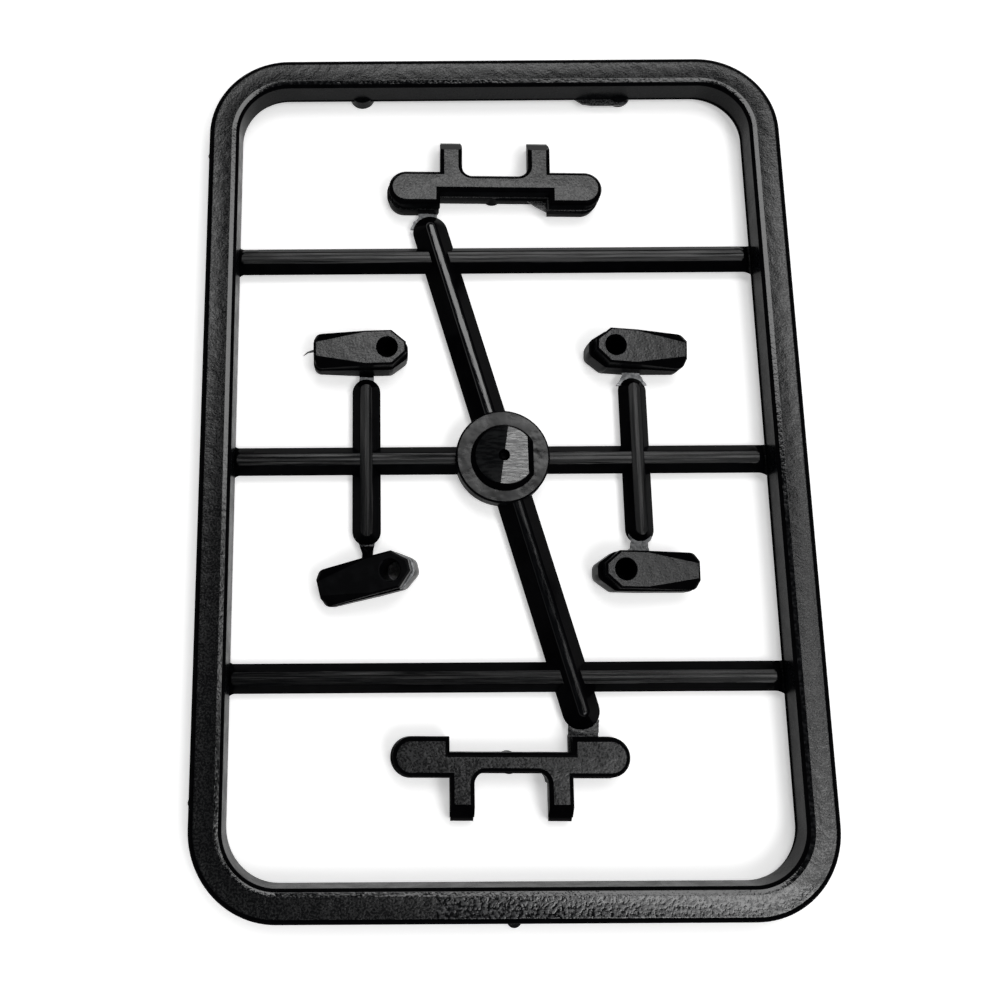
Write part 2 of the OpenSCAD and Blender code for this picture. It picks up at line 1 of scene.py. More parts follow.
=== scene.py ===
"""A moulded parts tree: two clamp brackets and four clamp levers on runners inside a frame.

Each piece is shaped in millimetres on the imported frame, +Z up, and scaled to metres last.
"""

import math

import bmesh
import bpy
from mathutils import Matrix, Vector, noise


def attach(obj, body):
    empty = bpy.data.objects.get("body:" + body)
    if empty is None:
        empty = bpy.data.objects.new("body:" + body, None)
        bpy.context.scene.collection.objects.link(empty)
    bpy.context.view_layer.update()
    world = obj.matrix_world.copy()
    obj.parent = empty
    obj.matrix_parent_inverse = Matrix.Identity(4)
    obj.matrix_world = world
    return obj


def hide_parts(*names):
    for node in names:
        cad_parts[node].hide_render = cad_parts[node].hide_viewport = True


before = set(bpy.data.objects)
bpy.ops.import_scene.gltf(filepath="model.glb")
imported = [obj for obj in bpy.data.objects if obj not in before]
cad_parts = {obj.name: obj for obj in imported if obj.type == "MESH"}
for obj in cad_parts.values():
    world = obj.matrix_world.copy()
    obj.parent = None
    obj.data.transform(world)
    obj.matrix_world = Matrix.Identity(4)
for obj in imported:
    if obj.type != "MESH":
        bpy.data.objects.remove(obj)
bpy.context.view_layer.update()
scene = bpy.context.scene
MM = 0.001

# ------------------------------------------------------- shared measures, mm

TREE_W, TREE_L, TREE_H = 90.0, 129.2, 6.0
BAR_W = 4.9
INNER_WALL = TREE_W / 2 - BAR_W
PARTING = 1.6
# How far the lower mould half sits off the upper one
SLIP = Vector((-0.2, -0.15, 0))
RUN_PITCH, BRANCH_X, BRANCH_REACH = 31.95, 20.3, 12.8
DIAG_LEAN = 15.7

# ------------------------------------------------------------------ camera

CAMERA_AT = Vector((-16.249, -32.406, 169.275)) * MM
CAMERA_YAW, CAMERA_TILT, CAMERA_ROLL = 0.1015, 12.773, -0.3465

lens = bpy.data.cameras.new("camera")
lens.sensor_width = 36.0
lens.lens = 40.698
lens.shift_x = 0.10883
lens.shift_y = -0.07511
lens.clip_start = 0.01
lens.clip_end = 20.0
camera = bpy.data.objects.new("camera", lens)
scene.collection.objects.link(camera)
camera.matrix_world = (
    Matrix.Translation(CAMERA_AT)
    @ Matrix.Rotation(math.radians(CAMERA_YAW), 4, "Y")
    @ Matrix.Rotation(math.radians(CAMERA_TILT), 4, "X")
    @ Matrix.Rotation(math.radians(CAMERA_ROLL), 4, "Z")
)
scene.camera = camera

# --------------------------------------------------------------- materials


def add(tree, kind, links=None, **settings):
    """A new node. Settings are its own properties; links are its inputs, as values or outputs."""
    node = tree.nodes.new("ShaderNode" + kind)
    for key, value in settings.items():
        setattr(node, key, value)
    for key, value in (links or {}).items():
        socket = node.inputs[key]
        if isinstance(value, bpy.types.NodeSocket):
            tree.links.new(value, socket)
        else:
            socket.default_value = value
    return node


def spread(tree, stretch=(1.0, 1.0, 1.0), turn=0.0):
    """Object coordinates in millimetres, turned about Z and stretched."""
    place = add(tree, "TexCoord").outputs["Object"]
    turned = add(tree, "Mapping", {"Vector": place, "Rotation": (0, 0, math.radians(turn))})
    scale = [1 / (MM * s) for s in stretch]
    return add(tree, "Mapping", {"Vector": turned.outputs[0], "Scale": scale}).outputs[0]


def grain(tree, vector, size, detail=2.0, roughness=0.5):
    """Noise whose features are about size millimetres across."""
    return add(
        tree,
        "TexNoise",
        {"Vector": vector, "Scale": 1 / size, "Detail": detail, "Roughness": roughness},
    ).outputs["Fac"]


def levels(tree, value, low, high, to_low, to_high):
    """Maps low..high to to_low..to_high, clamped."""
    return add(
        tree,
        "MapRange",
        {"Value": value, "From Min": low, "From Max": high, "To Min": to_low, "To Max": to_high},
    ).outputs["Result"]


# Places of the Mix node's colour sockets
MIX_FIRST, MIX_SECOND, MIX_RESULT = 6, 7, 2
# The ranges of noise that are spread over a material's whole range
PATCH_NOISE, FLECK_NOISE, SHADE_NOISE = (0.35, 0.65), (0.3, 0.7), (0.45, 0.7)


def plastic(name, colour, ior, grains, rough, stretch=(1, 1, 1), turn=0.0, blotch=3.0, fleck=0.0,
            pale=None):
    """Moulded plastic. grains are (size, height) of its bumps in millimetres, and rough is the
    range of its roughness, in blotches and in flecks of a size. pale is its second colour."""
    material = bpy.data.materials.new(name)
    material.use_nodes = True
    tree = material.node_tree
    shader = tree.nodes["Principled BSDF"]
    shader.inputs["IOR"].default_value = ior
    vector = spread(tree, stretch, turn)
    normal = None
    for size, height in grains:
        links = {"Height": grain(tree, vector, size), "Distance": height * MM, "Strength": 1.0}
        if normal:
            links["Normal"] = normal
        normal = add(tree, "Bump", links).outputs["Normal"]
    if normal:
        tree.links.new(normal, shader.inputs["Normal"])
    patches = grain(tree, vector, blotch, 4.0, 0.65)
    if fleck:
        flecks = levels(tree, grain(tree, vector, fleck, 1.0), *FLECK_NOISE, 0, 1)
        patches = add(tree, "Math", {0: patches, 1: flecks}, operation="ADD").outputs[0]
        patches = add(tree, "Math", {0: patches, 1: 0.5}, operation="MULTIPLY").outputs[0]
    tree.links.new(levels(tree, patches, *PATCH_NOISE, *rough), shader.inputs["Roughness"])
    mix = add(tree, "Mix", data_type="RGBA")
    mix.inputs[MIX_FIRST].default_value = (*colour, 1)
    mix.inputs[MIX_SECOND].default_value = (*(pale or [c * 1.6 for c in colour]), 1)
    shade = grain(tree, vector, fleck or blotch * 0.7, 3.0)
    tree.links.new(levels(tree, shade, *SHADE_NOISE, 0, 1), mix.inputs["Factor"])
    tree.links.new(mix.outputs[MIX_RESULT], shader.inputs["Base Color"])
    return material


BLACK = (0.0022, 0.0024, 0.0028)
SOOT = (0.0012, 0.0012, 0.0015)
DARK_GRAY = (0.005, 0.0053, 0.0058)
eroded = plastic("eroded_top", BLACK, 1.42, [(0.3, 0.022), (1.6, 0.07)], (0.19, 0.33),
                 blotch=2.6, fleck=0.3, pale=DARK_GRAY)
# A glossier copy of the top material for part of the bottom bar, with pale flecks that are painted
# sheen
sheen_painted_top = plastic("low_bar_painted_sheen", BLACK, 1.45, [(0.5, 0.045), (1.2, 0.04)], (0.08, 0.3),
                        blotch=1.5, fleck=0.5, pale=(0.03, 0.031, 0.033))
rim_strip = plastic("eroded_rim", BLACK, 1.46, [(0.5, 0.02), (0.25, 0.006)], (0.04, 0.14),
                    blotch=1.2, fleck=0.5, pale=(0.014, 0.0145, 0.0155))
clamp_top = plastic("clamp_top", BLACK, 1.42, [(0.3, 0.03), (1.4, 0.06)], (0.22, 0.34),
                    blotch=2.6, fleck=0.3, pale=(0.01, 0.0105, 0.0115))
twisted_top = plastic("polished_top", (0.0032, 0.0033, 0.0036), 1.12, [(0.6, 0.02)], (0.15, 0.3))
polished = plastic("polished_slope", SOOT, 1.04, [(1.5, 0.01)], (0.1, 0.2))
disc_top = plastic("sprue_face", BLACK, 1.38, [(0.3, 0.008), (3.2, 0.22)], (0.18, 0.4),
                   blotch=3.4, pale=DARK_GRAY)
# Darker and paler copies of the sprue's cut face: painted shade on the slope that looks left,
# painted light on the slope that looks right
cut_face_painted_shade = plastic("sprue_cut_painted_shade", BLACK, 1.16, [(0.3, 0.02)], (0.2, 0.4),
                    stretch=(6, 1, 1), blotch=0.8, fleck=0.4, pale=(0.006, 0.0065, 0.007))
cut_face_painted_light = plastic("sprue_cut_painted_light", BLACK, 1.7, [(0.25, 0.05), (1.5, 0.1)], (0.1, 0.35),
                   stretch=(9, 1, 1), blotch=0.5, fleck=0.2, pale=(0.016, 0.017, 0.019))
web_thin = plastic("gate_web", (0.008, 0.008, 0.009), 1.45, [(0.3, 0.08)], (0.15, 0.45),
                   blotch=0.6, fleck=0.25, pale=(0.05, 0.052, 0.055))
# Gray and pale copies of the black gate plastic: their light colours are painted light that the
# gates catch, and the pale one also paints the light in the twisted lever's bore
gray_painted_light = plastic("gray_painted_light_web", (0.07, 0.072, 0.075), 1.4, [(0.4, 0.05)], (0.2, 0.5),
                  blotch=0.9, fleck=0.6, pale=(0.17, 0.175, 0.18))
pale_painted_light = plastic("pale_painted_light_web", (0.25, 0.255, 0.265), 1.5, [(0.4, 0.1)], (0.15, 0.5),
                   blotch=0.7, fleck=0.45, pale=(0.5, 0.51, 0.52))


def walls(name, ior, rough):
    """A smooth upright wall."""
    return plastic(name, BLACK, ior, [(0.8, 0.01), (0.2, 0.003)], rough)


wall = walls("moulded_wall", 1.13, (0.2, 0.34))
clamp_wall = walls("clamp_wall", 1.035, (0.2, 0.34))
nose_wall = walls("lever_nose", 1.075, (0.25, 0.4))
nose_bright = walls("twisted_nose", 1.17, (0.25, 0.4))


def crests(name, ior, rough):
    """The round crest of a diagonal runner, with lines along it."""
    return plastic(name, BLACK, ior, [(0.12, 0.008), (0.5, 0.03)], rough,
                   stretch=(1, 10, 1), turn=-DIAG_LEAN, blotch=0.5, fleck=0.2)


crest = crests("glossy_crest", 1.5, (0.05, 0.14))
crest_dim = crests("satin_crest", 1.24, (0.08, 0.2))


def milled(name, turn, ior, pale):
    """The flat top of a runner, with the cutter's lines along it."""
    return plastic(name, BLACK, ior, [(0.3, 0.02), (0.12, 0.006)], (0.12, 0.4),
                   stretch=(30, 1, 1), turn=turn, blotch=0.35, pale=[pale] * 3)


milled_x = milled("milled_across", 0, 1.2, 0.006)
milled_y = milled("milled_along", 90, 1.17, 0.006)
# Glossier copies with a paler colour for the bright lines on the runners' tops: the pale colour is
# a painted highlight
glint_line_x = milled("painted_glint_across", 0, 1.31, 0.015)
glint_line_y = milled("painted_glint_along", 90, 1.29, 0.015)

# ------------------------------------------------------------------- making


def section(bm, corners):
    """A closed section in the plane x = 0 from (y, z, rounding) corners. Returns its edges."""
    verts = [bm.verts.new((0, y, z)) for y, z, _ in corners]
    bm.faces.new(verts)
    for vert, (_, _, rounding) in zip(verts, corners):
        if rounding:
            bmesh.ops.bevel(
                bm, geom=[vert], offset=rounding, offset_type="OFFSET", segments=3,
                profile=0.5, affect="VERTICES", material=-1,
            )
    edges = list(bm.edges)
    bmesh.ops.delete(bm, geom=list(bm.faces), context="FACES_ONLY")
    return edges


def sweep(bm, edges, steps, way=(0, 0, 0), centre=(0, 0, 0), turn=0.0):
    """Carries edges along a straight way, or round an upright axis. Returns the last ones."""
    verts = list(dict.fromkeys(v for e in edges for v in e.verts))
    made = bmesh.ops.spin(
        bm, geom=verts + list(edges), cent=centre, axis=(0, 0, 1), dvec=Vector(way) / steps,
        angle=math.radians(turn), steps=steps, use_merge=False, use_duplicate=False,
    )
    return [g for g in made["geom_last"] if isinstance(g, bmesh.types.BMEdge)]


def half(edges):
    """The edges of a section on its y >= 0 side."""
    return [e for e in edges if all(v.co.y > -1e-5 for v in e.verts)]


def dome(bm, edges, at, towards):
    """Rounds the end of a runner about the upright axis x = at. towards is 1 at its +X end."""
    sweep(bm, half(edges), 20, centre=(at, 0, 0), turn=-180 * towards)


def cap(bm):
    """Closes every open end."""
    rim = [e for e in bm.edges if e.is_boundary or not e.link_faces]
    if rim:
        bmesh.ops.holes_fill(bm, edges=rim, sides=0)


def move(bm, matrix):
    bmesh.ops.transform(bm, matrix=matrix, verts=bm.verts)


def weld(bm, dist=0.002):
    """Joins vertices that lie closer than dist."""
    bmesh.ops.remove_doubles(bm, verts=bm.verts, dist=dist)


def carved(bm, tool):
    """Cuts the tool's shape out of a solid. Returns what is left."""
    pair = []
    for part in (bm, tool):
        bmesh.ops.recalc_face_normals(part, faces=part.faces)
        mesh = bpy.data.meshes.new("carving")
        part.to_mesh(mesh)
        part.free()
        pair.append(bpy.data.objects.new("carving", mesh))
        scene.collection.objects.link(pair[-1])
    cutting = pair[0].modifiers.new("cutting", "BOOLEAN")
    cutting.object = pair[1]
    cutting.operation = "DIFFERENCE"
    cutting.solver = "EXACT"
    left = bmesh.new()
    left.from_object(pair[0], bpy.context.evaluated_depsgraph_get())
    for obj in pair:
        mesh = obj.data
        bpy.data.objects.remove(obj)
        bpy.data.meshes.remove(mesh)
    return left


def hull(bm):
    """A convex solid round the vertices, its edges rounded."""
    made = bmesh.ops.convex_hull(bm, input=bm.verts)
    spare = {v for key in ("geom_interior", "geom_unused") for v in made[key]
             if isinstance(v, bmesh.types.BMVert)}
    bmesh.ops.delete(bm, geom=[v for v in spare if v.is_valid], context="VERTS")
    bmesh.ops.delete(bm, geom=[e for e in bm.edges if e.is_wire], context="EDGES")
    bmesh.ops.dissolve_limit(bm, angle_limit=math.radians(1), verts=bm.verts, edges=bm.edges,
                             use_dissolve_boundaries=False)
    edges = [e for e in bm.edges if len(e.link_faces) == 2
             and e.calc_face_angle() > math.radians(22)]
    bmesh.ops.bevel(bm, geom=edges, offset=0.1, offset_type="OFFSET", segments=3,
                    profile=0.5, affect="EDGES", material=-1, clamp_overlap=True)
    return bm


def rings(bm, x, half_y, r, *heights):
    """Circles at both sides of the X axis, at each height."""
    for y in (-half_y, half_y):
        for z in heights:
            bmesh.ops.create_circle(bm, segments=40, radius=r, matrix=Matrix.Translation((x, y, z)))


def join(*parts):
    """One bmesh of several closed shells."""
    whole = bmesh.new()
    for part in parts:
        mesh = bpy.data.meshes.new("shell")
        part.to_mesh(mesh)
        part.free()
        whole.from_mesh(mesh)
        bpy.data.meshes.remove(mesh)
    return whole


def piece(name, bm, nodes, materials, zone, sharp=38, place=None):
    """Finishes a piece and lets it stand for the nodes. zone(normal, centre) picks a face's
    material before the piece is moved to its place. Edges over sharp degrees stay hard."""
    weld(bm, 0.004)
    bmesh.ops.dissolve_degenerate(bm, edges=bm.edges, dist=0.0005)
    bmesh.ops.recalc_face_normals(bm, faces=bm.faces)
    bm.normal_update()
    for face in bm.faces:
        face.smooth = True
        face.material_index = zone(face.normal, face.calc_center_median())
    if place:
        move(bm, place)
    bmesh.ops.scale(bm, vec=(MM, MM, MM), verts=bm.verts)
    mesh = bpy.data.meshes.new(name)
    bm.to_mesh(mesh)
    bm.free()
    for material in materials:
        mesh.materials.append(material)
    mesh.set_sharp_from_angle(angle=math.radians(sharp))
    obj = bpy.data.objects.new(name, mesh)
    scene.collection.objects.link(obj)
    shading = obj.modifiers.new("even_shading", "WEIGHTED_NORMAL")
    shading.keep_sharp = True
    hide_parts(*nodes)
    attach(obj, "root")
    return obj


# Edges of the tree's bars over this many degrees stay hard
BAR_SHARP = 28
# Places of the materials on a piece
TOP, SLOPE, SIDE = range(3)


def facet(normal, level, steep=0.2):
    """Picks the material of a top, a slope or a side from how far the face looks up."""
    if normal.z > level:
        return TOP
    return SLOPE if normal.z > steep else SIDE


# -------------------------------------------------------------------- frame

CORNER_R = 12.5
# Faces under this height are walls or the slopes beside them
RIM_Z = 5.7
# Where the bottom bar's stretch with painted sheen starts: its top takes a paler, glossier copy of
# the top material
PAINTED_SHEEN_FROM_X = -12
# A frame bar from its outer wall inwards: distance, height and rounding
FRAME_SECTION = [
    (0.9, 0, 0.2), (0, 1.59, 0), (0, 1.61, 0), (0.12, 5.55, 0.12), (0.5, 5.86, 0.12),
    (0.9, 5.99, 0.1), (1.3, 5.968, 0), (1.7, 5.955, 0), (2.1, 5.95, 0), (2.5, 5.952, 0),
    (2.9, 5.962, 0), (3.3, 5.978, 0), (3.7, 6, 0.03), (4.35, 5.86, 0.05), (4.78, 5.5, 0.12),
    (BAR_W, 1.61, 0), (BAR_W, 1.59, 0), (BAR_W - 0.9, 0, 0.2),
]
FRAME_TOP, FRAME_RIM, FRAME_BEVEL, FRAME_WALL, FRAME_PAINTED_SHEEN = range(5)


def frame_zone(normal, centre):
    """The bottom bar's top is brighter than the rest, with painted sheen: from a point along it on,
    it takes a glossier copy of the top material whose pale flecks are painted sheen. The rim slopes
    inwards.
    """
    if centre.z < RIM_Z:
        return FRAME_BEVEL if normal.z > 0.3 else FRAME_WALL
    if normal.z > 0.99:
        bright = centre.y < BAR_W - TREE_L / 2 and centre.x > PAINTED_SHEEN_FROM_X
        return FRAME_PAINTED_SHEEN if bright else FRAME_TOP
    inwards = normal.x * centre.x + normal.y * centre.y < 0
    return FRAME_RIM if inwards and normal.z > 0.9 else FRAME_BEVEL


def make_frame():
    bm = bmesh.new()
    x, y = TREE_W / 2 - CORNER_R, TREE_L / 2 - CORNER_R
    edges = section(bm, FRAME_SECTION)
    move(bm, Matrix.Translation((-TREE_W / 2, -y, 0)) @ Matrix.Rotation(-math.pi / 2, 4, "Z"))
    for way, corner in (
        ((0, 2 * y, 0), (-x, y, 0)),
        ((2 * x, 0, 0), (x, y, 0)),
        ((0, -2 * y, 0), (x, -y, 0)),
        ((-2 * x, 0, 0), (-x, -y, 0)),
    ):
        edges = sweep(bm, edges, 12, way=way)
        edges = sweep(bm, edges, 24, centre=corner, turn=-90)
    for vert in bm.verts:
        if vert.co.z < PARTING:
            vert.co += SLIP
    piece(
        "frame_bar", bm, ["outer_frame"],
        [eroded, rim_strip, polished, wall, sheen_painted_top], frame_zone, BAR_SHARP,
    )


# ------------------------------------------------------------------ runners

RUN_HALF, RUN_TOP, RUN_FOOT, RUN_H = 2.15, 0.95, 1.1, 3.4
# The foot of a cross runner stays this far above the plane
RUN_LIFT = 0.015
RUN_SECTION = (
    [(0, RUN_LIFT, 0), (-RUN_FOOT, RUN_LIFT, 0.15), (-RUN_HALF, PARTING, 0.05)]
    + [(-RUN_TOP, RUN_H, 0.1)]
    + [(RUN_TOP * i / 5, RUN_H, 0) for i in range(-4, 5)]
    + [(RUN_TOP, RUN_H, 0.1), (RUN_HALF, PARTING, 0.05), (RUN_FOOT, RUN_LIFT, 0.15)]
)
# The material of the bright lines on a runner's top, a painted highlight
GLINT_LINE = 3
RUN_X = [milled_x, polished, wall, glint_line_x]
RUN_Y = [milled_y, polished, wall, glint_line_y]


def run_zone(offset, glint_lines):
    """Picks a runner's materials. offset is a point's distance from the middle line, and the ranges
    given next are where the flat top has a bright line: a glossier copy of the milled material
    whose paler colour is a painted highlight."""
    def zone(normal, centre):
        pick = facet(normal, 0.93)
        if pick == TOP and any(low < offset(centre) < high for low, high in glint_lines):
            return GLINT_LINE
        return pick
    return zone


def across(y):
    """The zone of a runner along X."""
    return run_zone(lambda c: c.y - y, ((-0.15, 0.1), (0.4, 0.74)))


def along(x):
    """The zone of a runner along Y."""
    return run_zone(lambda c: c.x - x, ((-0.15, 0.35),))


RIPPLE_HEIGHT = 0.045
RIPPLE_ALONG, RIPPLE_ACROSS = 0.08, 3.2


def ripple(bm, seed):
    """The cutter's lines in the flat top of a runner along X."""
    for vert in bm.verts:
        if vert.co.z > RUN_H - 0.02:
            at = Vector((vert.co.x * RIPPLE_ALONG, vert.co.y * RIPPLE_ACROSS, seed))
            vert.co.z += RIPPLE_HEIGHT * noise.noise(at)


# Where a cross runner meets the left or right bar: how far its foot flares out and over what
# length, on its rear side and on its front side; and how far before the wall its top ends
FLARES = {-1: ((0.2, 0.5), (0.3, 0.7)), 1: ((0.12, 0.6), (0.55, 1.5))}
FACET_ENDS = {-1: 0.4, 1: 1.6}
# The last stretch before the wall has closer rings, and goes on into the bar
END_STRETCH, INTO_BAR, END_RINGS, RING_GAP = 3, 1.2, 28, 0.6
END_SLOPE = 1.5


def cross_runner(name, node, y, start, side, seed):
    """A runner from start on the X axis to the side bar. Its top ends before the wall, and its
    foot flares into the wall."""
    bm = bmesh.new()
    edges = section(bm, RUN_SECTION)
    wall_x = INNER_WALL - side * start
    plain = wall_x - END_STRETCH
    edges = sweep(bm, edges, int(plain / RING_GAP), way=(plain, 0, 0))
    sweep(bm, edges, END_RINGS, way=(END_STRETCH + INTO_BAR, 0, 0))
    ripple(bm, seed)
    facet_x = wall_x - FACET_ENDS[side] - RUN_TOP
    for vert in bm.verts:
        co = vert.co
        reach = (max(0, co.x - facet_x) ** 3 + abs(co.y) ** 3) ** (1 / 3)
        if co.z > PARTING:
            end_z = RUN_H + 0.05 - END_SLOPE * max(0, reach - RUN_TOP)
            co.z = max(PARTING, min(co.z, end_z))
        low = 1 - max(0, co.z - PARTING) / (RUN_H - PARTING)
        out, length = FLARES[side][0 if co.y * side > 0 else 1]
        near = max(0, 1 - max(0, wall_x - co.x) / length)
        co.y += math.copysign(out * near**2 * low, co.y) if abs(co.y) > 0.5 else 0
    cap(bm)
    heading = Matrix.Rotation(0 if side > 0 else math.pi, 4, "Z")
    move(bm, Matrix.Translation((start, y, 0)) @ heading)
    piece(name, bm, [node], RUN_X, across(y), BAR_SHARP)


# The inner runners start inside the disc
LINK_START = 5


def inner_runner(name, node, side, seed):
    """The runner between the sprue disc and a branch runner."""
    bm = bmesh.new()
    edges = section(bm, RUN_SECTION)
    sweep(bm, edges, 25, way=(BRANCH_X - RUN_TOP - LINK_START, 0, 0))
    ripple(bm, seed)
    cap(bm)
    heading = Matrix.Rotation(0 if side > 0 else math.pi, 4, "Z")
    move(bm, heading @ Matrix.Translation((LINK_START, 0, 0)))
    piece(name, bm, [node], RUN_X, across(0), BAR_SHARP)


def branch_runner(name, node, side, seed):
    """A short runner along Y with rounded ends, across the end of the link."""
    bm = bmesh.new()
    straight = BRANCH_REACH - RUN_HALF
    first = section(bm, RUN_SECTION)
    move(bm, Matrix.Translation((-straight, 0, 0)))
    last = sweep(bm, first, 36, way=(2 * straight, 0, 0))
    dome(bm, first, -straight, -1)
    dome(bm, last, straight, 1)
    ripple(bm, seed)
    upright = Matrix.Rotation(math.pi / 2, 4, "Z")
    move(bm, Matrix.Translation((side * BRANCH_X, 0, -RUN_LIFT)) @ upright)
    piece(name, bm, [node], RUN_Y, along(side * BRANCH_X), BAR_SHARP)


# ---------------------------------------------------------- diagonal runners

DIAG_HALF, DIAG_H, DIAG_OFFSET = 2.75, 4.5, 0.15
DIAG_TIP_Y = RUN_PITCH + 7.5
DIAG_FOOT = 1.6
# How far the round crest has dropped at a distance from the middle line
CREST_ARC = (
    (0.2, 0.007), (0.4, 0.03), (0.56, 0.075), (0.75, 0.18), (0.92, 0.37), (1.04, 0.6),
)
DIAG_RIGHT = [(y, DIAG_H - drop, 0) for y, drop in CREST_ARC]
DIAG_RIGHT += [(DIAG_HALF, PARTING, 0.06), (DIAG_FOOT, 0, 0.15)]
DIAG_SECTION = (
    [(0, 0, 0)] + [(-y, z, r) for y, z, r in reversed(DIAG_RIGHT)] + [(0, DIAG_H, 0)] + DIAG_RIGHT
)
# The diagonals start inside the disc
DIAG_START = 4.5
# The direction across the diagonals. The crest's material reaches further down on one side
LEAN = Vector((math.cos(math.radians(DIAG_LEAN)), math.sin(math.radians(DIAG_LEAN)), 0))


def diagonal_runner(name, node, turn, top):
    """A thick feed runner from the disc outwards, with a round crest and a rounded tip."""
    bm = bmesh.new()
    straight = (DIAG_TIP_Y - DIAG_HALF) / math.cos(math.radians(DIAG_LEAN))
    first = section(bm, DIAG_SECTION)
    move(bm, Matrix.Translation((DIAG_START, 0, 0)))
    last = sweep(bm, first, 40, way=(straight - DIAG_START, 0, 0))
    dome(bm, last, straight, 1)
    for vert in bm.verts:
        if vert.co.z > PARTING + 0.5:
            vert.co.z += 0.01 * noise.noise(Vector((vert.co.x * 0.25, vert.co.y, turn)))
    cap(bm)
    heading = Matrix.Rotation(math.radians(turn), 4, "Z")
    move(bm, Matrix.Translation((DIAG_OFFSET, 0, 0)) @ heading)
    piece(
        name, bm, [node], [top, polished, wall],
        lambda n, c: facet(n, 0.8 if c.dot(LEAN) < 0.1 else 0.96), BAR_SHARP,
    )


# --------------------------------------------------------------- disc and stub

DISC_R, DISC_H = 7.0, 4.8
STUB_TOP, STUB_R, STUB_BASE_R = 7.0, 4.2, 5.0
STUB_SHIFT = Vector((0.2, -0.2, 0))
# The cutter left two slopes that meet in a ridge, turned by RIDGE_TURN, and a flat at the right.
# Each slope drops by so much over the stub's radius
RIDGE_AT, RIDGE_TURN = Vector((-0.2, 0, STUB_TOP)), -9
LEFT_DROP, RIGHT_DROP = 0.85, 0.35
FLAT_AT, FLAT_NORMAL = Vector((3.15, 0, STUB_TOP)), Vector((2.2, 0, 1.2))
# The shrink hole, from the axis at its bottom to the axis above its mouth
SHRINK_HOLE = [
    (0, STUB_TOP - 1.2, 0), (0.6, STUB_TOP - 1.15, 0.2), (0.78, STUB_TOP - 0.35, 0),
    (0.95, STUB_TOP + 0.3, 0), (0, STUB_TOP + 0.3, 0),
]


def turned(profile):
    """A solid of revolution from (radius, height, rounding) corners, its ends on the axis."""
    bm = bmesh.new()
    edges = section(bm, profile)
    axis = [e for e in edges if all(abs(v.co.y) < 1e-6 for v in e.verts)]
    bmesh.ops.delete(bm, geom=axis, context="EDGES")
    bmesh.ops.spin(
        bm, geom=list(bm.verts) + list(bm.edges), cent=(0, 0, 0), axis=(0, 0, 1),
        angle=2 * math.pi, steps=72, use_merge=True, use_duplicate=False,
    )
    return bm


def make_disc():
    bm = turned([
        (0, 0, 0), (DISC_R - 0.9, 0, 0.2), (DISC_R, PARTING, 0.05), (DISC_R, DISC_H - 0.25, 0.1),
        (DISC_R - 0.25, DISC_H, 0.05), (STUB_BASE_R, DISC_H, 0), (STUB_BASE_R - 1, DISC_H, 0),
        (0, DISC_H, 0),
    ])
    piece(
        "sprue_disc_face", bm, ["sprue_disc"], [disc_top, polished, clamp_wall],
        lambda n, c: facet(n, 0.95),
    )


def cut_off(bm, point, normal):
    """Cuts away what lies beyond a plane and closes the cut."""
    geom = list(bm.verts) + list(bm.edges) + list(bm.faces)
    bmesh.ops.bisect_plane(
        bm, geom=geom, dist=1e-5, plane_co=point, plane_no=normal, clear_outer=True
    )
    cap(bm)


def make_stub():
    """The cut sprue. It stands on the disc and has a blind shrink hole in its top."""
    bm = turned([
        (0, DISC_H - 0.3, 0), (STUB_BASE_R + 0.1, DISC_H - 0.3, 0), (STUB_BASE_R, DISC_H, 0),
        (STUB_R + 0.2, DISC_H + 1.1, 0.4), (STUB_R, STUB_TOP + 0.2, 0), (0, STUB_TOP + 0.2, 0),
    ])
    weld(bm)
    ridge = Matrix.Rotation(math.radians(RIDGE_TURN), 4, "Z")
    for side, drop in ((-1, LEFT_DROP), (1, RIGHT_DROP)):
        cut_off(bm, RIDGE_AT, ridge @ Vector((side * drop, 0, STUB_R)))
    cut_off(bm, FLAT_AT, FLAT_NORMAL)
    move(bm, Matrix.Translation(STUB_SHIFT))
    hole = turned(SHRINK_HOLE)
    weld(hole)
    move(hole, Matrix.Translation((0, STUB_SHIFT.y, 0)))
    right_cut, body, left_cut = range(3)

    # Top faces that look right take the paler copy, painted light; those that look left take the
    # darker copy, painted shade
    def zone(normal, centre):
        if normal.z > 0.9 and centre.z > STUB_TOP - 1:
            return right_cut if normal.x > 0 else left_cut
        return body

    piece("sprue_stub_cut", carved(bm, hole), ["sprue_stub"],
          [cut_face_painted_light, polished, cut_face_painted_shade], zone, sharp=20)


# ------------------------------------------------------ brackets and levers

CLAMP_LEVEL, CLAMP_STEEP = 0.97, 0.25


def make_brackets():
    """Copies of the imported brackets, with their flat faces made whole."""
    for node in ("clamp_bracket_upper", "clamp_bracket_lower"):
        bm = bmesh.new()
        bm.from_mesh(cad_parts[node].data)
        bmesh.ops.scale(bm, vec=(1 / MM,) * 3, verts=bm.verts)
        weld(bm)
        bmesh.ops.dissolve_limit(bm, angle_limit=math.radians(1.5), verts=bm.verts,
                                 edges=bm.edges, use_dissolve_boundaries=False)
        piece(
            node + "_part", bm, [node], [clamp_top, polished, clamp_wall],
            lambda n, c: facet(n, CLAMP_LEVEL, CLAMP_STEEP),
        )


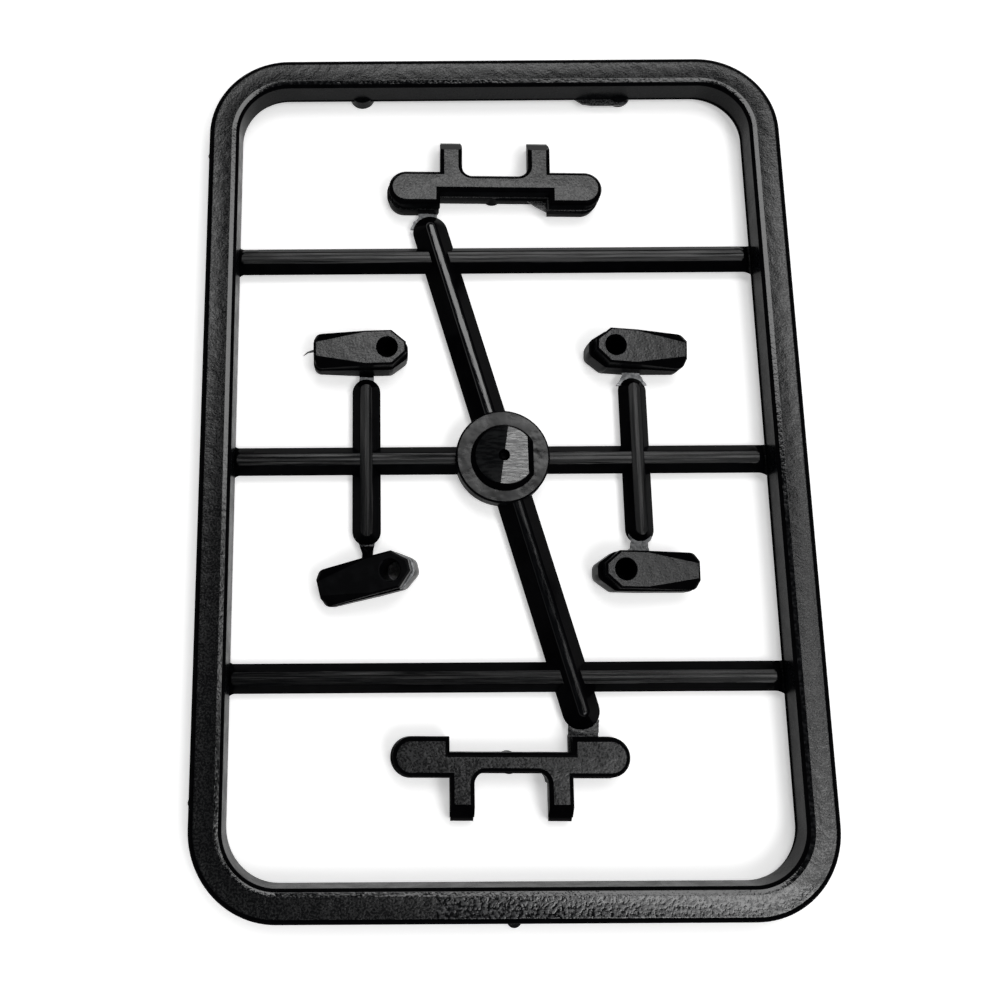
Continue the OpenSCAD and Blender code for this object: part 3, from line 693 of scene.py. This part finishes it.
# A lever's own frame: the hole on the Z axis, the nose towards -X and the tail towards +X.
# Its upper layer is an outline with straight sides, its lower layer stands out under it
LEVER_HALF, LEVER_STEP_Z, STEP_OUT, WALL_OUT, NOSE_OUT = 2.73, 3.8, 0.15, 0.28, 0.5
NOSE_X, NOSE_CORNER_X, NOSE_FLAT, HEAD_HALF = 2.6, 0.6, 0.675, 2.45
KNEE_X, TAIL_X, TAIL_HALF, TAIL_WALL_X, TAIL_R = 3.3, 10.7, 1.075, 11.0, 1.15
# Radius of the lower layer's upright corners, and how far its foot is inside them
POST_R, FOOT_IN = 1.2, 0.1
FLANK_Z, TAIL_FOOT_Z = 4.7, 1.4
BORE_R, BORE_FLOOR = 1.55, 0.5
BORE = [
    (0, BORE_FLOOR, 0), (BORE_R - 0.05, BORE_FLOOR, 0.1), (BORE_R, 1, 0),
    (BORE_R, 5.88, 0), (BORE_R + 0.2, 6.08, 0), (0, 6.08, 0),
]
# The levers' holes: from the branch runner inwards (upper, lower), from the middle, and how much
# further out the right and the lower ones are
HOLE_IN = {1: 3.2, -1: 3.4}
HOLE_Y, RIGHT_OUT, LOWER_OUT = 16.68, 0.2, 0.2
# The lower left lever is twisted on its gate: its turn and pitch in degrees
TWIST_TURN, TWIST_PITCH, RIGHT_PITCH = 13.3, 13, 5
UPPER_TURN, LOWER_TURN = {-1: 1.3, 1: -3}, -1.2


def lever_outline(bm, z, out, tail_half, tail_x):
    """Corners of the lever's outline at a height, grown by out."""
    for side in (-1, 1):
        for x, y in (
            (-NOSE_X - out, NOSE_FLAT + out / 2),
            (-NOSE_CORNER_X - out / 2, HEAD_HALF + out),
            (KNEE_X, HEAD_HALF + out),
            (tail_x, tail_half),
        ):
            bm.verts.new((x, side * y, z))


def make_lever(side, end):
    """A clamp lever: pointed upper layer on a lower layer with a rounded nose. side is 1 at the
    right and -1 at the left, end is 1 at the rear and -1 at the front."""
    twisted = side < 0 and end < 0
    small_turn = LOWER_TURN if end < 0 else UPPER_TURN[side]
    turn = (0 if side > 0 else 180) + (TWIST_TURN if twisted else small_turn)
    pitch = math.radians(TWIST_PITCH if twisted else (RIGHT_PITCH if side > 0 else 0))
    around = Matrix.Rotation(math.radians(turn), 4, "Z")
    shift = around.inverted() @ SLIP
    post_x, post_y = TAIL_WALL_X - TAIL_R, LEVER_HALF - TAIL_R
    upper = bmesh.new()
    lever_outline(upper, TREE_H, 0, TAIL_HALF, TAIL_X)
    lever_outline(upper, TREE_H - 0.3, WALL_OUT, TAIL_HALF + WALL_OUT, TAIL_WALL_X)
    lever_outline(upper, LEVER_STEP_Z, WALL_OUT, post_y, post_x)
    rings(upper, post_x, post_y, TAIL_R, LEVER_STEP_Z, FLANK_Z)
    lower = bmesh.new()
    tip_x = POST_R - NOSE_X - WALL_OUT - NOSE_OUT
    shoulder_y = LEVER_HALF + STEP_OUT - POST_R
    for x, y in ((tip_x, NOSE_FLAT * 0.67), (POST_R / 8 - NOSE_CORNER_X, shoulder_y)):
        rings(lower, x, y, POST_R, PARTING, LEVER_STEP_Z)
        rings(lower, x, y, POST_R - FOOT_IN, 0)
    rings(lower, KNEE_X, shoulder_y, POST_R - FOOT_IN, 0)
    rings(lower, post_x, post_y, TAIL_R, PARTING, LEVER_STEP_Z)
    rings(lower, post_x, post_y, TAIL_R - STEP_OUT, TAIL_FOOT_Z)
    move(lower, Matrix.Translation(shift))
    shells = []
    for layer in (upper, lower):
        bore = turned(BORE)
        weld(bore)
        shells.append(carved(hull(layer), bore))
    # The lever pitches about its hole's mouth and is lifted until its tail rests on the plane
    back = TREE_H * math.tan(pitch) - shift.x
    lift = max(
        0,
        (KNEE_X + POST_R - FOOT_IN - back) * math.sin(pitch),
        (TAIL_WALL_X - STEP_OUT - back) * math.sin(pitch) - TAIL_FOOT_Z * math.cos(pitch),
    )
    hole_x = BRANCH_X - HOLE_IN[end] + (RIGHT_OUT if side > 0 else 0)
    hole_y = HOLE_Y + (0 if end > 0 else LOWER_OUT)
    place = (
        Matrix.Translation((side * hole_x, end * hole_y, lift))
        @ around
        @ Matrix.Rotation(pitch, 4, "Y")
        @ Matrix.Translation((-TREE_H * math.tan(pitch), 0, 0))
    )
    name = f"clamp_lever_{'upper' if end > 0 else 'lower'}_{'right' if side > 0 else 'left'}"
    nose, bore_floor = 3, 4

    def zone(normal, centre):
        in_bore = math.hypot(centre.x, centre.y) < BORE_R + 0.1
        if normal.z > CLAMP_LEVEL and centre.z > TREE_H - 0.1:
            return TOP
        if twisted and centre.x < NOSE_X:
            # The floor of the twisted lever's blind bore takes the pale web material: painted light
            if in_bore and centre.z < TREE_H - 0.2:
                return bore_floor if normal.z > 0.5 else nose
            if normal.x < -0.3:
                return nose
            return SLOPE if normal.z > CLAMP_STEEP else SIDE
        if normal.z > CLAMP_STEEP or in_bore:
            return SLOPE
        return nose if centre.z < LEVER_STEP_Z and centre.x < 0 else SIDE

    piece(name + "_part", join(*shells), [name],
          [twisted_top if twisted else clamp_top, polished, clamp_wall,
           nose_bright if twisted else nose_wall, pale_painted_light],
          zone, sharp=30, place=place)


# --------------------------------------------------------------------- gates

WEB_THICKNESS, WEB_SAG, WEB_BUMP, WEB_JAG = 0.4, 0.12, 0.15, 0.08


def web(name, node, start, end, widths, heights, materials, share=1.0):
    """A torn web of plastic from start to end (x, y), its half widths given along the way and
    its height at both ends. It takes the first material over its share of the way."""
    bm = bmesh.new()
    bmesh.ops.create_grid(bm, x_segments=16, y_segments=10, size=0.5)
    start, end = Vector(start), Vector(end)
    way = end - start
    side_way = Vector((-way.y, way.x)).normalized()
    for vert in bm.verts:
        t, v = vert.co.x + 0.5, vert.co.y * 2
        i = min(int(t * (len(widths) - 1)), len(widths) - 2)
        f = t * (len(widths) - 1) - i
        f = f * f * (3 - 2 * f)
        half_width = widths[i] * (1 - f) + widths[i + 1] * f
        jag = 1 + WEB_JAG * noise.noise(Vector((t * 4, v * 0.5, start.x)))
        at = start + way * t + side_way * v * half_width * jag
        bump = WEB_BUMP * noise.noise(Vector((at.x * 1.8, at.y * 1.8, 3.1)))
        height = heights[0] * (1 - t) + heights[1] * t
        vert.co = (at.x, at.y, height + bump - WEB_SAG * v * v)
    bmesh.ops.recalc_face_normals(bm, faces=bm.faces)
    bmesh.ops.solidify(bm, geom=bm.faces, thickness=WEB_THICKNESS)
    piece(
        name, bm, [node], materials,
        lambda n, c: 0 if (c.xy - start).dot(way) < share * way.length_squared else 1, sharp=50,
    )


# Where the gates meet the levers' and the brackets' walls
LEVER_WALL_Y, BRACKET_WALL_Y = 14.4, 40.05


def make_gates():
    # The gray and pale web materials are painted light that the gates catch near the runners' tips;
    # the rest of a gate keeps a dark material
    x, tip = BRANCH_X, BRANCH_REACH - 1.3
    web("gate_upper_left_web", "gate_lever_upper_left", (-x, tip), (-x + 0.1, LEVER_WALL_Y),
        (1.5, 1.15, 1.1, 1.4), (1.8, 1.3), [pale_painted_light, polished], 0.55)
    web("gate_upper_right_web", "gate_lever_upper_right", (x, tip), (x, LEVER_WALL_Y),
        (2.3, 1.8, 1.3, 1.5), (1.95, 1.5), [pale_painted_light, clamp_wall], 0.75)
    web("gate_lower_left_web", "gate_lever_lower_left", (-x, -tip),
        (-x + 0.15, -LEVER_WALL_Y - 0.8), (1.7, 1.1, 0.8, 0.9), (1.8, 1.6),
        [web_thin, polished], 0.4)
    web("gate_lower_right_web", "gate_lever_lower_right", (x, -tip),
        (x - 0.4, -LEVER_WALL_Y - 0.3), (1.7, 1.3, 1.35, 2.5), (1.8, 1.8), [gray_painted_light, gray_painted_light])
    x = (DIAG_TIP_Y - DIAG_HALF) * math.tan(math.radians(DIAG_LEAN)) + 0.4
    web("gate_bracket_upper_web", "gate_bracket_upper", (-x, DIAG_TIP_Y - 2.2),
        (-x + 0.2, BRACKET_WALL_Y + 0.3), (2.6, 2.3, 1.5, 1.45), (1.75, 1.0),
        [pale_painted_light, polished], 0.92)
    web("gate_bracket_lower_web", "gate_bracket_lower", (x, 1.5 - DIAG_TIP_Y),
        (x - 0.1, -BRACKET_WALL_Y - 0.3), (2.3, 2.2, 2.15, 2.2), (1.75, 1.75),
        [web_thin, web_thin])


# --------------------------------------------------------------- light, floor


def softbox(name, at, size, radiance):
    """An area lamp of a given radiance, aimed at the origin; places in metres."""
    data = bpy.data.lights.new(name, "AREA")
    data.shape = "RECTANGLE"
    data.size, data.size_y = size
    data.energy = radiance * math.pi * size[0] * size[1]
    lamp = bpy.data.objects.new(name, data)
    scene.collection.objects.link(lamp)
    aim = (-Vector(at)).to_track_quat("-Z", "Y").to_matrix().to_4x4()
    lamp.matrix_world = Matrix.Translation(at) @ aim


def make_light():
    """Three softboxes, and a sky that is bright near the horizon only."""
    softbox("overhead_softbox", (0.13, 0.39, 1.0), (0.6, 0.4), 5.5)
    softbox("side_softbox", (0.425, 0.0, 1.0), (0.12, 0.38), 4.8)
    softbox("low_softbox", (0.365, -0.368, 1.0), (0.435, 0.34), 8.5)
    world = bpy.data.worlds.new("studio")
    scene.world = world
    world.use_nodes = True
    tree = world.node_tree
    place = add(tree, "TexCoord").outputs["Generated"]
    height = add(tree, "SeparateXYZ", {"Vector": place}).outputs["Z"]
    low, high, bright, dark = 0.4, 0.7, 0.8, 0.02
    glow = levels(tree, height, low, high, bright, dark)
    back = tree.nodes["Background"]
    back.inputs["Color"].default_value = (1, 1, 1, 1)
    tree.links.new(glow, back.inputs["Strength"])


FLOOR_GLOW = 0.4


def make_floor():
    """A white floor just under the part. It glows only for rays that see it, so that the glow
    lights nothing."""
    bm = bmesh.new()
    bmesh.ops.create_grid(bm, x_segments=2, y_segments=2, size=3.0)
    mesh = bpy.data.meshes.new("floor")
    bm.to_mesh(mesh)
    bm.free()
    floor = bpy.data.objects.new("floor", mesh)
    scene.collection.objects.link(floor)
    floor.location.z = -0.0001
    material = bpy.data.materials.new("pale_floor")
    material.use_nodes = True
    tree = material.node_tree
    shader = tree.nodes["Principled BSDF"]
    shader.inputs["Base Color"].default_value = (0.95, 0.95, 0.95, 1)
    shader.inputs["Roughness"].default_value = 0.8
    shader.inputs["Specular IOR Level"].default_value = 0.1
    shader.inputs["Emission Color"].default_value = (1, 1, 1, 1)
    rays = add(tree, "LightPath").outputs
    seen = rays["Is Camera Ray"]
    for kind in ("Is Glossy Ray", "Is Transmission Ray"):
        seen = add(tree, "Math", {0: seen, 1: rays[kind]}, operation="MAXIMUM").outputs[0]
    glow = add(tree, "Math", {0: seen, 1: FLOOR_GLOW}, operation="MULTIPLY")
    tree.links.new(glow.outputs[0], shader.inputs["Emission Strength"])
    mesh.materials.append(material)


# The diagonals cross the outer rows of runners this far from the middle
CROSSING_X = 9.0
BRANCH_WALL_X = BRANCH_X + RUN_TOP

make_frame()
for number, (name, node, y, start, side) in enumerate((
    ("top_runner_left_bar", "top_runner_left", RUN_PITCH, -CROSSING_X, -1),
    ("top_runner_right_bar", "top_runner_right", RUN_PITCH, -CROSSING_X, 1),
    ("middle_runner_left_bar", "middle_runner_left_outer", 0, -BRANCH_WALL_X, -1),
    ("middle_runner_right_bar", "middle_runner_right_outer", 0, BRANCH_WALL_X, 1),
    ("bottom_runner_left_bar", "bottom_runner_left", -RUN_PITCH, CROSSING_X, -1),
    ("bottom_runner_right_bar", "bottom_runner_right", -RUN_PITCH, CROSSING_X, 1),
)):
    cross_runner(name, node, y, start, side, number + 1)
inner_runner("middle_runner_left_link", "middle_runner_left_inner", -1, 7)
inner_runner("middle_runner_right_link", "middle_runner_right_inner", 1, 8)
branch_runner("branch_runner_left_bar", "branch_runner_left", -1, 9)
branch_runner("branch_runner_right_bar", "branch_runner_right", 1, 10)
diagonal_runner("diagonal_runner_upper_bar", "diagonal_runner_upper", 90 + DIAG_LEAN, crest)
diagonal_runner("diagonal_runner_lower_bar", "diagonal_runner_lower", -90 + DIAG_LEAN, crest_dim)
make_disc()
make_stub()
make_brackets()
for lever_side in (-1, 1):
    for lever_end in (-1, 1):
        make_lever(lever_side, lever_end)
make_gates()
make_floor()
make_light()

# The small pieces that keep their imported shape
for node, material in (
    ("frame_side_lugs", wall), ("frame_end_lug", wall), ("frame_inner_lugs", wall),
    ("frame_flash_tongue", web_thin), ("bracket_corner_web", web_thin),
    ("lever_flash_whisker", web_thin),
):
    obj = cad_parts[node]
    obj.data.materials.clear()
    obj.data.materials.append(material)

scene.view_settings.view_transform = "Standard"
